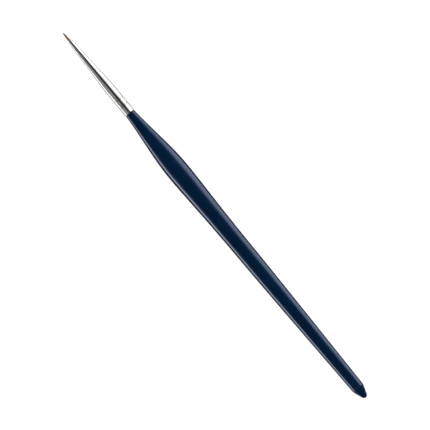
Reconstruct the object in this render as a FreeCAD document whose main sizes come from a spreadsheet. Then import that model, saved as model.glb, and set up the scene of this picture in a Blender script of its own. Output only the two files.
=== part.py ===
import FreeCAD, Part
import os
import re
import Sketcher
from FreeCAD import Vector

# A fine detail brush: a turned wooden handle with dipped coats of lacquer, a seamless nickel-plated
# ferrule that is glued and crimped on to the handle's tenon, and a small round tuft that is tied at
# its root and set in resin.
#
# The brush lies along X, with the tuft towards +X and the handle's crest on the plane z = 0. Every
# piece is turned about one axis. Its profiles lie in the XZ plane of its body, where the first
# measure of a place runs along the axis from the tail end, and the second is the distance from it.

# Driving sizes in millimetres, except the angles in degrees and the reaches and swells, which shape a
# curve: a reach is the share of a curve's length over which its end keeps the end's direction.
SIZES = {
    "handle_length": (136.5, "tail end to the rim of the ferrule"),
    "shoulder_diameter": (3.8, "lacquered handle where it leaves the ferrule"),
    "shoulder_flare": (4.0, "angle at which the handle opens behind the ferrule"),
    "shoulder_reach": (0.38, "straightness of the flare at the ferrule"),
    "crest_diameter": (8.44, "thickest place of the handle"),
    "crest_setback": (28.5, "rim of the ferrule to the middle of the crest"),
    "crest_land": (2.0, "cylindrical land along the crest"),
    "crest_front_reach": (0.30, "fullness of the belly towards the ferrule"),
    "crest_rear_reach": (0.16, "fullness of the belly towards the waist"),
    "waist_gap": (39.5, "crest to the waist"),
    "waist_diameter": (6.88, "handle at the waist"),
    "waist_taper": (0.24, "angle of the surface at the waist"),
    "waist_front_reach": (0.51, "straightness of the waist towards the crest"),
    "waist_rear_reach": (0.18, "straightness of the waist towards the tail"),
    "tail_diameter": (4.86, "handle at the corner above the tail cone"),
    "tail_taper": (1.0, "angle of the surface at that corner"),
    "tail_reach": (0.28, "straightness of the long taper at the corner"),
    "tail_corner": (0.5, "length of the rounding on each side of the corner"),
    "tail_cone_length": (4.55, "corner to the tail end"),
    "tail_end_diameter": (1.68, "tail cone at the end, before its rounding"),
    "tail_nose_length": (0.95, "length of the rounded end"),
    "coat_thickness": (0.2, "dipped coats of lacquer"),
    "drip_length": (0.5, "lacquer that ran off the tail end of the wood"),
    "ferrule_length": (34.5, "rim to mouth"),
    "ferrule_diameter": (4.1, "cylindrical barrel of the ferrule"),
    "ferrule_wall": (0.36, "seamless tube"),
    "mouth_diameter": (1.7, "outside of the ferrule where the tuft comes out"),
    "mouth_bevel": (0.12, "broken outer edge of the mouth"),
    "rim_bevel": (0.08, "broken outer edge of the rim"),
    "blend_length": (2.2, "half the length of the curve from barrel to cone"),
    "crimp_setback": (3.7, "rim to the middle of the first rolled crimp"),
    "crimp_spacing": (2.9, "first crimp to the second"),
    "crimp_depth": (0.08, "how far the wall is rolled in"),
    "crimp_half_width": (0.65, "middle of a crimp to its edge"),
    "barrel_lead": (3.1, "second crimp to the front end of the barrel"),
    "glue_setback": (0.4, "front edge of the second crimp to the adhesive"),
    "glue_thickness": (0.05, "adhesive round the front of the tenon"),
    "glue_pool": (0.8, "adhesive that the tenon pushed ahead of it"),
    "tenon_chamfer": (0.4, "lead-in at the tenon's front edge"),
    "hair_length": (4.0, "length of hair out of the ferrule"),
    "belly_reach": (0.40, "how far the tuft stays full"),
    "belly_swell": (1.08, "fullness of the tuft's belly"),
    "point_reach": (0.90, "how late the tuft turns in to its point"),
    "point_swell": (0.75, "fullness of the tuft near its point"),
    "tip_diameter": (0.08, "end of the point"),
    "neck_diameter": (0.9, "tuft under its binding"),
    "binding_setback": (4.6, "mouth to the binding"),
    "butt_diameter": (1.24, "cut end of the hair"),
    "butt_length": (1.3, "binding to the cut end"),
    "thread_diameter": (0.16, "binding thread"),
    "thread_gap": (0.01, "between neighbouring turns, and between thread and hair"),
    "thread_turns": (3, "turns of the binding"),
    "resin_setback": (1.0, "mouth to the front of the resin"),
    "resin_cover": (1.2, "resin behind the cut end of the hair"),
}

# Places along the axis, from the tail end
CORNER_FRONT = "(tail_cone_length + tail_corner)"
RIM = "handle_length"
CREST = "(handle_length - crest_setback)"
WAIST = "(handle_length - crest_setback - waist_gap)"
BARREL_END = "(handle_length + crimp_setback + crimp_spacing + barrel_lead)"
GLUE_REAR = "(handle_length + crimp_setback + crimp_spacing + crimp_half_width + glue_setback)"
TENON_END = f"({BARREL_END} - glue_pool)"
MOUTH = "(handle_length + ferrule_length)"
TIP = "(handle_length + ferrule_length + hair_length)"
THREAD_PITCH = "(thread_diameter + thread_gap)"
BINDING_FRONT = f"({MOUTH} - binding_setback)"
BINDING_REAR = f"({BINDING_FRONT} - {THREAD_PITCH} * thread_turns - thread_diameter - 2 * thread_gap)"
BUTT = f"({BINDING_REAR} - butt_length)"

# Slopes and radii that more than one profile uses
TAIL_SLOPE = "((tail_diameter - tail_end_diameter) / 2 / tail_cone_length)"
BARREL_BORE = "(ferrule_diameter / 2 - ferrule_wall)"
CONE_START = f"({BARREL_END} + blend_length)"
CONE_SLOPE = f"((ferrule_diameter - mouth_diameter) / 2 / ({MOUTH} - {CONE_START}))"
MOUTH_BORE = "(mouth_diameter / 2 - ferrule_wall)"
THREAD_RADIUS = "(neck_diameter / 2 + thread_gap + thread_diameter / 2)"

AXIS = "0"
FULL_TURN = 360

doc = FreeCAD.newDocument("DetailBrush")
sheet = doc.addObject("Spreadsheet::Sheet", "Sizes")
for row, (name, (value, note)) in enumerate(SIZES.items(), start=1):
    sheet.set(f"A{row}", name)
    sheet.set(f"B{row}", str(value))
    sheet.set(f"C{row}", note)
    sheet.setAlias(f"B{row}", name)
doc.recompute()


def bound(expression):
    """The expression with every size's name pointing at its cell of the sheet."""
    names = "|".join(sorted(SIZES, key=len, reverse=True))
    return re.sub(rf"\b({names})\b", r"Sizes.\1", expression)


def number(expression):
    """What the expression is worth with the sheet's present sizes."""
    return float(sheet.evalExpression(bound(expression)))


def stretch(places, start, end):
    """The poles of the stretch of a curve between two shares of it, given the whole curve's poles."""
    degree = len(places) - 1
    poles = []
    for index in range(degree + 1):
        weights = [1]
        for share in [start] * (degree - index) + [end] * index:
            weights = [(1 - share) * old + share * new for old, new in zip([*weights, 0], [0, *weights])]
        pole = [
            " + ".join(f"{weight} * ({place[side]})" for weight, place in zip(weights, places) if weight)
            for side in (0, 1)
        ]
        poles.append(pole)
    return poles


class Outline:
    """A closed profile in a body's XZ plane, with each of its places bound to the sheet."""

    def __init__(self, body, name, start):
        plane = [feature for feature in body.Origin.OriginFeatures if feature.Role == "XZ_Plane"][0]
        self.sketch = body.newObject("Sketcher::SketchObject", name)
        self.sketch.AttachmentSupport = [(plane, "")]
        self.sketch.MapMode = "FlatFace"
        self.start = start
        self.place = start
        self.first = None
        self.last = None

    def constrain(self, kind, *where):
        return self.sketch.addConstraint(Sketcher.Constraint(kind, *where))

    def pin(self, geometry, vertex, place):
        """Tie a vertex to a place, given as two expressions."""
        for kind, expression, zero_line in (("DistanceX", place[0], -2), ("DistanceY", place[1], -1)):
            if expression == AXIS:
                self.constrain("PointOnObject", geometry, vertex, zero_line)
            else:
                index = self.constrain(kind, -1, 1, geometry, vertex, number(expression))
                self.sketch.setExpression(f"Constraints[{index}]", bound(expression))

    def follow(self, geometry, start, whole):
        """Join new geometry to the open end of the outline, or pin it as the first piece."""
        if self.last is None:
            self.pin(*start, self.start)
            self.first = start
        else:
            self.constrain("Coincident", self.last, 2, *start)
        self.last = whole

    def line_to(self, place):
        """A straight line from the open end to the place."""
        ends = [Vector(number(x), number(z), 0) for x, z in (self.place, place)]
        line = self.sketch.addGeometry(Part.LineSegment(*ends))
        self.follow(line, (line, 1), line)
        self.pin(line, 2, place)
        self.place = place

    def curve_to(self, *poles, cuts=()):
        """A smooth curve from the open end, drawn towards each pole in turn and ending in the last.

        At the cuts, given as shares of it, a long curve goes over into another sketch curve of the
        same form, so that the face turned from it stays light.
        """
        whole = [self.place, *poles]
        for start, end in zip((0, *cuts), (*cuts, 1)):
            self.add_curve(stretch(whole, start, end) if cuts else whole)
        self.place = poles[-1]

    def add_curve(self, places):
        """One sketch curve from the open end, whose poles are the places."""
        points = [Vector(number(x), number(z), 0) for x, z in places]
        degree = len(points) - 1
        spline = Part.BSplineCurve()
        spline.buildFromPolesMultsKnots(points, [degree + 1] * 2, [0, 1], False, degree)
        curve = self.sketch.addGeometry(spline)
        handles = [self.sketch.addGeometry(Part.Circle(point, Vector(0, 0, 1), 1), True) for point in points]
        for index, handle in enumerate(handles):
            self.constrain("InternalAlignment:Sketcher::BSplineControlPoint", handle, 3, curve, index)
        self.constrain("Weight", handles[0], 1.0)
        for handle in handles[1:]:
            self.constrain("Equal", handles[0], handle)
        self.follow(curve, (handles[0], 3), curve)
        for handle, place in zip(handles[1:], places[1:]):
            self.pin(handle, 3, place)

    def close(self):
        """The last line, back to the start."""
        ends = [Vector(number(x), number(z), 0) for x, z in (self.place, self.start)]
        line = self.sketch.addGeometry(Part.LineSegment(*ends))
        self.constrain("Coincident", self.last, 2, line, 1)
        self.constrain("Coincident", line, 2, *self.first)


def turn(outline, name, cut=False):
    """Turn a closed outline about the brush's axis, adding to its body or cutting from it."""
    body = outline.sketch.getParentGeoFeatureGroup()
    doc.recompute()
    before = body.Shape.Volume if body.Tip else 0
    feature = body.newObject("PartDesign::Groove" if cut else "PartDesign::Revolution", name)
    feature.Profile = outline.sketch
    feature.ReferenceAxis = (outline.sketch, ["H_Axis"])
    feature.Angle = FULL_TURN
    doc.recompute()
    change = body.Shape.Volume - before
    if (change >= 0) == cut:
        raise RuntimeError(f"{name} left its body's volume as it was")


def new_body(name):
    """A body that stands with the brush's middle over the origin and its crest on the plane z = 0."""
    body = doc.addObject("PartDesign::Body", name)
    body.Label = name
    body.setExpression("Placement.Base.x", bound(f"-{TIP} / 2"))
    body.setExpression("Placement.Base.z", bound("crest_diameter / 2"))
    return body


def tail(x, inset):
    """The place on the tail cone at x, a given depth below the handle's surface."""
    return (x, f"tail_end_diameter / 2 - {inset} + {x} * {TAIL_SLOPE}")


def taper(x, inset):
    """The place on the handle's long taper near the tail at x, a given depth below the surface."""
    return (x, f"tail_diameter / 2 - {inset} + ({x} - tail_cone_length) * tan(tail_taper)")


def rounded_tail(outline):
    """Draw the lacquered tail: its rounded end, its cone, and the rounding of the corner ahead of it."""
    outline.curve_to(tail(AXIS, AXIS), tail("tail_nose_length", AXIS))
    outline.line_to(tail("(tail_cone_length - tail_corner)", AXIS))
    outline.curve_to(taper("tail_cone_length", AXIS), taper(CORNER_FRONT, AXIS))


def crisp_tail(outline):
    """Draw the tail of the wood, with the crisp edges of turned work that the lacquer rounds off."""
    outline.line_to(tail("drip_length", "coat_thickness"))
    outline.line_to(tail("tail_cone_length", "coat_thickness"))
    outline.line_to(taper(CORNER_FRONT, "coat_thickness"))


def handle_outline(outline, inset):
    """Draw the handle from its tail to the ferrule's rim, a given depth below its surface."""

    def waist(x):
        return (x, f"waist_diameter / 2 - {inset} + ({x} - {WAIST}) * tan(waist_taper)")

    def crest(x):
        return (x, f"crest_diameter / 2 - {inset}")

    def flare(x):
        return (x, f"shoulder_diameter / 2 - {inset} + ({RIM} - {x}) * tan(shoulder_flare)")

    crest_rear = f"({CREST} - crest_land / 2)"
    crest_front = f"({CREST} + crest_land / 2)"
    long_taper = f"({WAIST} - {CORNER_FRONT})"
    belly_fall = f"({crest_rear} - {WAIST})"
    neck = f"({RIM} - {crest_front})"

    outline.curve_to(
        taper(f"({CORNER_FRONT} + tail_reach * {long_taper})", inset),
        waist(f"({WAIST} - waist_rear_reach * {long_taper})"),
        waist(WAIST),
        cuts=(0.55, 0.9),
    )
    outline.curve_to(
        waist(f"({WAIST} + waist_front_reach * {belly_fall})"),
        crest(f"({crest_rear} - crest_rear_reach * {belly_fall})"),
        crest(crest_rear),
        cuts=(0.55, 0.7),
    )
    outline.line_to(crest(crest_front))
    outline.curve_to(
        crest(f"({crest_front} + crest_front_reach * {neck})"),
        flare(f"({RIM} - shoulder_reach * {neck})"),
        flare(RIM),
        cuts=(0.5, 0.7),
    )


def barrel_outline(outline, inset, front):
    """Draw the barrel with its two rolled crimps, up to a place ahead of them."""
    radius = f"(ferrule_diameter / 2 - {inset})"
    for crimp in (f"({RIM} + crimp_setback)", f"({RIM} + crimp_setback + crimp_spacing)"):
        outline.line_to((f"{crimp} - crimp_half_width", radius))
        # the pole of a parabola stands twice as far off as the parabola dips
        outline.curve_to((crimp, f"{radius} - 2 * crimp_depth"), (f"{crimp} + crimp_half_width", radius))
    outline.line_to((front, radius))


def cone(x, inset):
    """The place on the ferrule's cone at x, a given depth below its outside."""
    return (x, f"mouth_diameter / 2 - {inset} + ({MOUTH} - {x}) * {CONE_SLOPE}")


def ferrule_outline(outline, inset, front):
    """Draw the ferrule's barrel, the curve ahead of it, and its cone up to a place near the mouth."""
    barrel_outline(outline, inset, BARREL_END)
    outline.curve_to(cone(CONE_START, inset), cone(f"({CONE_START} + blend_length)", inset))
    outline.line_to(cone(front, inset))


def tenon_front(outline):
    """Draw the front of the tenon, thinned for the adhesive and chamfered."""
    radius = f"{BARREL_BORE} - glue_thickness"
    outline.line_to((GLUE_REAR, radius))
    outline.line_to((f"{TENON_END} - tenon_chamfer", radius))
    outline.line_to((TENON_END, f"{radius} - tenon_chamfer"))
    outline.line_to((TENON_END, AXIS))


def root_outline(outline):
    """Draw the tuft's hidden root, from its cut end past its bound neck to the ferrule's mouth."""
    butt = "butt_diameter / 2"
    neck = "neck_diameter / 2"
    half_butt = f"({BINDING_REAR} - butt_length / 2)"
    throat = f"({MOUTH} - binding_setback / 2)"
    outline.line_to((BUTT, butt))
    outline.curve_to((half_butt, neck), (BINDING_REAR, neck))
    outline.line_to((BINDING_FRONT, neck))
    outline.curve_to((throat, neck), (throat, MOUTH_BORE), (MOUTH, MOUTH_BORE), cuts=(0.4,))


def make_handle_core():
    """The turned hardwood: the handle's form without its lacquer, and the tenon in the ferrule."""
    body = new_body("handle_core")
    handle = Outline(body, "HandleProfile", ("drip_length", AXIS))
    crisp_tail(handle)
    handle_outline(handle, "coat_thickness")
    handle.line_to((RIM, AXIS))
    handle.close()
    turn(handle, "TurnedHandle")
    tenon = Outline(body, "TenonProfile", (RIM, AXIS))
    tenon.line_to((RIM, BARREL_BORE))
    barrel_outline(tenon, "ferrule_wall", GLUE_REAR)
    tenon_front(tenon)
    tenon.close()
    turn(tenon, "Tenon")
    return body


def make_lacquer_coat():
    """The dipped coats as one closed skin round the wood, from the tail end to the ferrule's rim."""
    body = new_body("lacquer_coat")
    surface = Outline(body, "SurfaceProfile", (AXIS, AXIS))
    rounded_tail(surface)
    handle_outline(surface, AXIS)
    surface.line_to((RIM, AXIS))
    surface.close()
    turn(surface, "Surface")
    wood = Outline(body, "WoodProfile", ("drip_length", AXIS))
    crisp_tail(wood)
    handle_outline(wood, "coat_thickness")
    wood.line_to((RIM, AXIS))
    wood.close()
    turn(wood, "RoomForWood", cut=True)
    return body


def make_handle_glue():
    """The adhesive round the front of the tenon, with what the tenon pushed ahead of it."""
    body = new_body("handle_glue")
    filling = Outline(body, "FillingProfile", (GLUE_REAR, AXIS))
    filling.line_to((GLUE_REAR, BARREL_BORE))
    filling.line_to((BARREL_END, BARREL_BORE))
    filling.line_to((BARREL_END, AXIS))
    filling.close()
    turn(filling, "Filling")
    tenon = Outline(body, "TenonProfile", (GLUE_REAR, AXIS))
    tenon_front(tenon)
    tenon.close()
    turn(tenon, "RoomForTenon", cut=True)
    return body


def make_ferrule():
    """The seamless tube, drawn down to a cone, with two crimps rolled through its wall."""
    body = new_body("ferrule")
    outside = Outline(body, "OutsideProfile", (RIM, AXIS))
    outside.line_to((RIM, "ferrule_diameter / 2 - rim_bevel"))
    outside.line_to((f"{RIM} + rim_bevel", "ferrule_diameter / 2"))
    ferrule_outline(outside, AXIS, f"({MOUTH} - mouth_bevel)")
    outside.line_to((MOUTH, "mouth_diameter / 2 - mouth_bevel"))
    outside.line_to((MOUTH, AXIS))
    outside.close()
    turn(outside, "Outside")
    inside = Outline(body, "InsideProfile", (RIM, AXIS))
    inside.line_to((RIM, BARREL_BORE))
    ferrule_outline(inside, "ferrule_wall", MOUTH)
    inside.line_to((MOUTH, AXIS))
    inside.close()
    turn(inside, "Inside", cut=True)
    return body


def make_setting_resin():
    """The resin that holds the tuft's root in the ferrule's cone, and runs in round the binding."""
    body = new_body("setting_resin")
    back = f"({BUTT} - resin_cover)"
    front = f"({MOUTH} - resin_setback)"
    plug = Outline(body, "PlugProfile", (back, AXIS))
    plug.line_to(cone(back, "ferrule_wall"))
    plug.line_to(cone(front, "ferrule_wall"))
    plug.line_to((front, AXIS))
    plug.close()
    turn(plug, "Plug")
    root = Outline(body, "RootProfile", (BUTT, AXIS))
    root_outline(root)
    root.line_to((MOUTH, AXIS))
    root.close()
    turn(root, "RoomForRoot", cut=True)
    outside_thread = f"{THREAD_RADIUS} + thread_diameter / 2 + thread_gap"
    binding = Outline(body, "BindingProfile", (BINDING_REAR, AXIS))
    binding.line_to((BINDING_REAR, outside_thread))
    binding.line_to((BINDING_FRONT, outside_thread))
    binding.line_to((BINDING_FRONT, AXIS))
    binding.close()
    turn(binding, "RoomForBinding", cut=True)
    return body


def make_binding_thread():
    """The thread wound round the neck of the tuft, turn beside turn, with a six-sided section."""
    body = new_body("binding_thread")
    corners = [
        (
            f"{BINDING_REAR} + thread_gap + thread_diameter / 2 * (1 + cos({angle}))",
            f"{THREAD_RADIUS} + thread_diameter / 2 * sin({angle})",
        )
        for angle in range(0, FULL_TURN, 60)
    ]
    section = Outline(body, "ThreadProfile", corners[0])
    for corner in corners[1:]:
        section.line_to(corner)
    section.close()
    doc.recompute()
    winding = body.newObject("PartDesign::AdditiveHelix", "Winding")
    winding.Profile = section.sketch
    winding.ReferenceAxis = (section.sketch, ["H_Axis"])
    winding.Mode = "pitch-height-angle"
    winding.setExpression("Pitch", bound(THREAD_PITCH))
    winding.setExpression("Height", bound(f"{THREAD_PITCH} * thread_turns"))
    return body


def make_hair_tuft():
    """The tuft as one closed form: cut end, bound neck, throat in the mouth, belly and point."""
    body = new_body("hair_tuft")
    tuft = Outline(body, "TuftProfile", (BUTT, AXIS))
    root_outline(tuft)
    tuft.curve_to(
        (f"{MOUTH} + belly_reach * hair_length", f"belly_swell * {MOUTH_BORE}"),
        (f"{MOUTH} + point_reach * hair_length", f"point_swell * {MOUTH_BORE}"),
        (TIP, "tip_diameter / 2"),
        cuts=(0.3,),
    )
    tuft.line_to((TIP, AXIS))
    tuft.close()
    turn(tuft, "Tuft")
    return body


pieces = [
    make_handle_core(),
    make_lacquer_coat(),
    make_handle_glue(),
    make_ferrule(),
    make_setting_resin(),
    make_binding_thread(),
    make_hair_tuft(),
]
doc.recompute()

for item in doc.Objects:
    if {"Invalid", "Error"} & set(item.State):
        raise RuntimeError(f"{item.Name} failed: {item.State}")
for piece in pieces:
    if piece.Shape.isNull() or not piece.Shape.isValid() or len(piece.Shape.Solids) != 1:
        raise RuntimeError(f"{piece.Label} is not one valid solid")

os.makedirs("parts", exist_ok=True)
for piece in pieces:
    piece.Shape.exportStep(f"parts/{piece.Label}.step")
    box = piece.Shape.optimalBoundingBox(False)
    print(f"{piece.Label}: {piece.Shape.Volume:.3f} mm3, x {box.XMin:.2f} to {box.XMax:.2f}, "
          f"z {box.ZMin:.3f} to {box.ZMax:.3f}")
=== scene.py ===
"""Visual model of a fine detail brush for model making.

A navy lacquered wooden handle, a drawn nickel ferrule with two rolled
crimps, and a short pointed tuft of brown hair, lying on a pale table.
Places along the brush and the sizes of its pieces are millimetres,
measured forward from the handle's tail end and outward from the axis.
Sizes of texture, and everything in the studio, are metres.
"""

import logging
import math
from collections.abc import Callable, Sequence
from dataclasses import dataclass
from enum import Enum

import bpy
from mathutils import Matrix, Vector


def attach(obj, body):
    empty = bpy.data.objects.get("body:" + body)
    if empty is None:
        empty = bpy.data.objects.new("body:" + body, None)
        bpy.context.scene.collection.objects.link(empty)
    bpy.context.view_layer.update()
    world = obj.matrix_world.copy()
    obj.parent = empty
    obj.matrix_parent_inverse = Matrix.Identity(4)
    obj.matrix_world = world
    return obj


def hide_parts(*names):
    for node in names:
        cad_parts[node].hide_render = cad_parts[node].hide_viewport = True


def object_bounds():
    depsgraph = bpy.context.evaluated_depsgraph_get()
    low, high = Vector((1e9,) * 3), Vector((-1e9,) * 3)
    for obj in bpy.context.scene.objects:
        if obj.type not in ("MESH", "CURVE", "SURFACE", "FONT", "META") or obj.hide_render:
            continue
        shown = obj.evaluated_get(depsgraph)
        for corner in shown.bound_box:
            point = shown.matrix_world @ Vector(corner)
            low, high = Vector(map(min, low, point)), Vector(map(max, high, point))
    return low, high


Pair = tuple[float, float]
Point = tuple[float, float]
Spot = tuple[float, float, float]
Colour = tuple[float, float, float, float]
Line = Callable[[float], float]
Socket = bpy.types.NodeSocket
Given = dict[str, Socket]

MM = 0.001
BODY = "root"
GOLDEN_ANGLE = math.pi * (3.0 - math.sqrt(5.0))
# Edges bent more sharply than this many degrees stay crisp.
CRISP_ANGLE = 50.0
# A Mix node's colour sockets, which share their names with its other sockets.
MIX_FIRST, MIX_SECOND, MIX_RESULT = 6, 7, 2

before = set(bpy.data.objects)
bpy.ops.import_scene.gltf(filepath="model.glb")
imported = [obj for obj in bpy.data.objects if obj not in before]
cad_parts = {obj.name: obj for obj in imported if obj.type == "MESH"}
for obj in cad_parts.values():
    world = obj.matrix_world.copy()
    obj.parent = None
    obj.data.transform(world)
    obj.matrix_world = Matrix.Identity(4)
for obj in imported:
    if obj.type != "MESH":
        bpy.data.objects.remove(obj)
CAD_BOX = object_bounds()
log = logging.getLogger("detail_brush")


class Node(Enum):
    """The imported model's solids."""

    CORE = "handle_core"
    COAT = "lacquer_coat"
    GLUE = "handle_glue"
    FERRULE = "ferrule"
    RESIN = "setting_resin"
    THREAD = "binding_thread"
    TUFT = "hair_tuft"


class Slot(Enum):
    """The record's material slots for the lacquer, the nickel and the hair."""

    LACQUER = "navy_lacquer"
    NICKEL = "nickel_plate"
    HAIR = "brown_hair"


# ------------------------------------------------------------------ shapes


@dataclass(frozen=True)
class Axis:
    """The brush's centre line, in the row frame.

    Attributes:
        tail: Place of the tail end along X, in metres.
        height: Height of the line over the table, in metres.
    """

    tail: float
    height: float

    @classmethod
    def of_model(cls) -> "Axis":
        """Returns the line through the middle of the CAD box."""
        low, high = CAD_BOX
        return cls(tail=low.x, height=(low.z + high.z) / 2)

    def along(self, place: float) -> float:
        """Returns the X of a place given in millimetres from the tail."""
        return self.tail + place * MM


def curve_through(poles: Sequence[Point], steps: int) -> list[Point]:
    """Points along a Bezier curve.

    Args:
        poles: The curve's poles, its two ends among them.
        steps: How many points to give.

    Returns:
        The points after the first pole, the last pole among them.
    """
    points = []
    for step in range(1, steps + 1):
        t = step / steps
        level = list(poles)
        while len(level) > 1:
            level = [
                (a[0] + (b[0] - a[0]) * t, a[1] + (b[1] - a[1]) * t)
                for a, b in zip(level, level[1:])
            ]
        points.append(level[0])
    return points


def run_to(start: Point, end: Point, steps: int) -> list[Point]:
    """Evenly spaced points on a straight run, its start left out."""
    return curve_through((start, end), steps)


def rounded(start: Point, corner: Point, end: Point, steps: int) -> list[Point]:
    """Points round a soft corner, both of its ends among them."""
    return [start, *curve_through((start, corner, end), steps)]


def slope_of(angle: float) -> float:
    """How much a line rises for each unit along, from its angle in degrees."""
    return math.tan(math.radians(angle))


def sloped(spot: Point, slope: float) -> Line:
    """A straight line's radius at any place, from one point on it and its slope."""
    return lambda x: spot[1] + (x - spot[0]) * slope


def eased_run(
    start: Point, end: Point, leave: Line, arrive: Line, pulls: Pair, steps: int
) -> list[Point]:
    """Points on a curve that leaves one straight line and joins another.

    Args:
        start: Where the curve leaves the first line.
        end: Where it joins the second.
        leave: The first line.
        arrive: The second line.
        pulls: How far it keeps near each line, as shares of its length.
        steps: How many points to give.

    Returns:
        The points after the start, the end among them.
    """
    run = end[0] - start[0]
    first, second = start[0] + pulls[0] * run, end[0] - pulls[1] * run
    return curve_through((start, (first, leave(first)), (second, arrive(second)), end), steps)


def moved_in(outline: Sequence[Point], depth: float) -> list[Point]:
    """The same outline moved inward by a wall's thickness.

    Args:
        outline: Points from the tail forward, along the outside.
        depth: How far each point moves, square to the outline.

    Returns:
        The moved points, none of them past the axis.
    """
    moved = []
    for index, (x, r) in enumerate(outline):
        before = outline[max(index - 1, 0)]
        after = outline[min(index + 1, len(outline) - 1)]
        run, rise = after[0] - before[0], after[1] - before[1]
        length = math.hypot(run, rise)
        moved.append((x + rise / length * depth, max(r - run / length * depth, 0.0)))
    return moved


def turned_mesh(
    name: str,
    outline: Sequence[Point],
    axis: Axis,
    segments: int,
    closed: bool,
) -> bpy.types.Object:
    """Turns an outline about the brush's axis.

    Args:
        name: The new object's name.
        outline: Points along and out from the axis, running forward outside.
        axis: The line to turn about.
        segments: How many steps go round.
        closed: Whether the last point joins the first, as in a ring.

    Returns:
        The object, at the origin, with its faces pointing outwards.
    """
    verts: list[Spot] = []
    rings: list[list[int]] = []
    for x, r in outline:
        count = segments if r > 0.0 else 1
        first = len(verts)
        for step in range(count):
            angle = math.tau * step / segments
            across, up = r * MM * math.cos(angle), r * MM * math.sin(angle)
            verts.append((axis.along(x), across, axis.height + up))
        rings.append([first + step % count for step in range(segments)])
    pairs = list(zip(rings, rings[1:]))
    if closed:
        pairs.append((rings[-1], rings[0]))
    faces: list[tuple[int, ...]] = []
    for low, high in pairs:
        for step in range(segments):
            after = (step + 1) % segments
            corners = (low[step], low[after], high[after], high[step])
            face = tuple(dict.fromkeys(corners))
            if len(face) > 2:
                faces.append(face)
    mesh = bpy.data.meshes.new(name)
    mesh.from_pydata(verts, [], faces)
    mesh.shade_smooth()
    mesh.set_sharp_from_angle(angle=math.radians(CRISP_ANGLE))
    return place_object(name, mesh)


def place_object(name: str, data: bpy.types.ID) -> bpy.types.Object:
    """Puts something in the scene.

    Args:
        name: The new object's name.
        data: Its mesh, lamp or camera.

    Returns:
        The object, at the origin.
    """
    piece = bpy.data.objects.new(name, data)
    bpy.context.scene.collection.objects.link(piece)
    return piece


def flat_sheet(name: str, low: Point, high: Point, height: float) -> bpy.types.Object:
    """Lays a level oblong between two corners.

    Args:
        name: The new object's name.
        low: The corner with the least X and Y, in metres.
        high: The corner with the most.
        height: Its place along Z, in metres.

    Returns:
        The object, with one face that points up.
    """
    mesh = bpy.data.meshes.new(name)
    corners = [(low[0], low[1]), (high[0], low[1]), (high[0], high[1]), (low[0], high[1])]
    mesh.from_pydata([(x, y, height) for x, y in corners], [], [(0, 1, 2, 3)])
    return place_object(name, mesh)


# ------------------------------------------------------------------- nodes


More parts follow.
